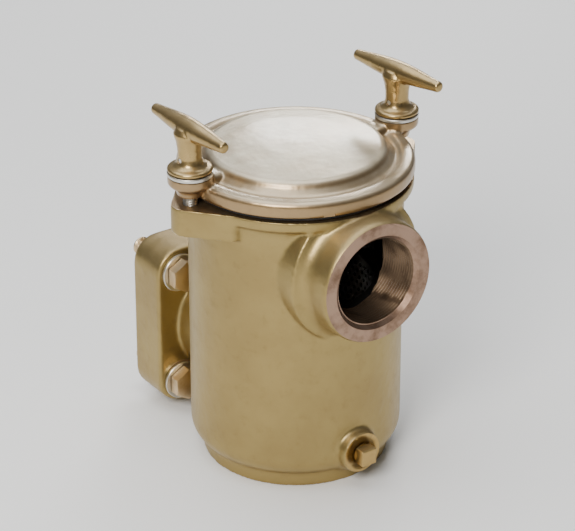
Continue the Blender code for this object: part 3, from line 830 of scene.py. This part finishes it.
def bail():
    """Round wire hoop and the two tabs that its ends turn in."""
    for side in SIDES:
        low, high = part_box("bail_tab_" + side)
        tab = block(side + "_tab", (low.x, low.y, low.z), (high.x, high.y, high.z), 0, 2.6 * MM, 0.35 * MM)
        eye = drum("eye", 1.9 * MM, low.x - MM, high.x + MM, 32)
        pivot = low.z + 2.9 * MM
        eye.matrix_world = Matrix.Translation((0, 0, pivot)) @ Matrix.Rotation(math.pi / 2, 4, "Y")
        combine(tab, "DIFFERENCE", settle(eye))
        show(polish(wear(tab, BASKET_STEEL)), "basket", "basket_steel", "bail_tab_" + side)
    low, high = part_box("basket_bail")
    wire_r = 1.6 * MM
    hoop_r = high.y - wire_r
    curve = bpy.data.curves.new("bail_wire", "CURVE")
    curve.dimensions = "3D"
    curve.bevel_depth = wire_r
    curve.bevel_resolution = 5
    curve.use_fill_caps = True
    spline = curve.splines.new("NURBS")
    turns = 24
    places = [(low.x, 0, 0), (low.x + 2 * MM, 0, 0), (-hoop_r - MM, 0, 0), (-hoop_r, 1.5 * MM, -0.4 * MM)]
    for step in range(1, turns):
        angle = math.pi * (1 - step / turns)
        places.append((hoop_r * math.cos(angle), hoop_r * math.sin(angle), -1.3 * MM))
    places += [(hoop_r, 1.5 * MM, -0.4 * MM), (hoop_r + MM, 0, 0), (high.x - 2 * MM, 0, 0), (high.x, 0, 0)]
    spline.points.add(len(places) - 1)
    for point, place in zip(spline.points, places):
        point.co = (place[0], place[1], pivot + place[2], 1)
    spline.order_u = 3
    spline.use_endpoint_u = True
    spline.resolution_u = 6
    wire = link("bail_wire", curve)
    mesh = bpy.data.meshes.new_from_object(evaluated(wire))
    bpy.data.objects.remove(wire, do_unlink=True)
    hoop = polish(wear(link("bail_hoop", mesh), STAINLESS), 60)
    show(hoop, "bail", "basket_steel", "basket_bail")


# ---------------------------------------------------------------- picture

def area_light(name, place, target, size, power, colour=(1, 1, 1)):
    light = bpy.data.lights.new(name, "AREA")
    light.shape = "RECTANGLE"
    light.size, light.size_y = size
    light.energy = power
    light.color = colour
    obj = link(name, light)
    obj.location = place
    obj.rotation_euler = (Vector(target) - Vector(place)).to_track_quat("-Z", "Y").to_euler()
    return obj


def studio():
    """Pale floor, a dim room and three soft lights: in front, overhead and low behind."""
    mesh = bpy.data.meshes.new("floor")
    bm = bmesh.new()
    bmesh.ops.create_grid(bm, x_segments=1, y_segments=1, size=4)
    bm.to_mesh(mesh)
    bm.free()
    floor = link("floor", mesh)
    floor.location.z = -0.4 * MM
    f = Finish("floor_paper")
    floor.data.materials.append(f.set(base_color=(0.90, 0.90, 0.89), roughness=0.9))
    world = bpy.data.worlds.new("room")
    world.use_nodes = True
    room = world.node_tree.nodes["Background"].inputs
    room["Color"].default_value = (0.92, 0.95, 1.0, 1)
    room["Strength"].default_value = 0.14
    bpy.context.scene.world = world
    middle = (0, 0, 0.12)
    area_light("key", (-1.3, -0.95, 1.3), middle, (0.7, 0.7), 38, (1, 0.975, 0.94))
    area_light("above", (-0.15, 0.3, 2.1), middle, (2.6, 2.0), 49, (0.97, 0.985, 1))
    area_light("window", (0.92, 1.03, 0.77), middle, (0.5, 0.16), 6)


def camera():
    """Above and to the left of the inlet, aimed at the whole strainer."""
    data = bpy.data.cameras.new("view")
    data.lens = 168
    data.sensor_width = 36
    obj = link("view", data)
    place = Vector((-0.8667, -1.246, 0.901))
    obj.location = place
    obj.rotation_euler = (Vector((0.002, 0.012, 0.121)) - place).to_track_quat("-Z", "Y").to_euler()
    bpy.context.scene.camera = obj


body_casting()
cover_casting()
for side in SIDES:
    hand_screw(side)
for height, side in CORNERS:
    cap_screw(height, side)
drain_plug()
gaskets()
screen()
screen_bottom()
basket_rim()
bail()
for side in SIDES:
    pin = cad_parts[side + "_stud_pin"]
    pin.data.materials.clear()
    pin.data.materials.append(STAINLESS)
studio()
camera()
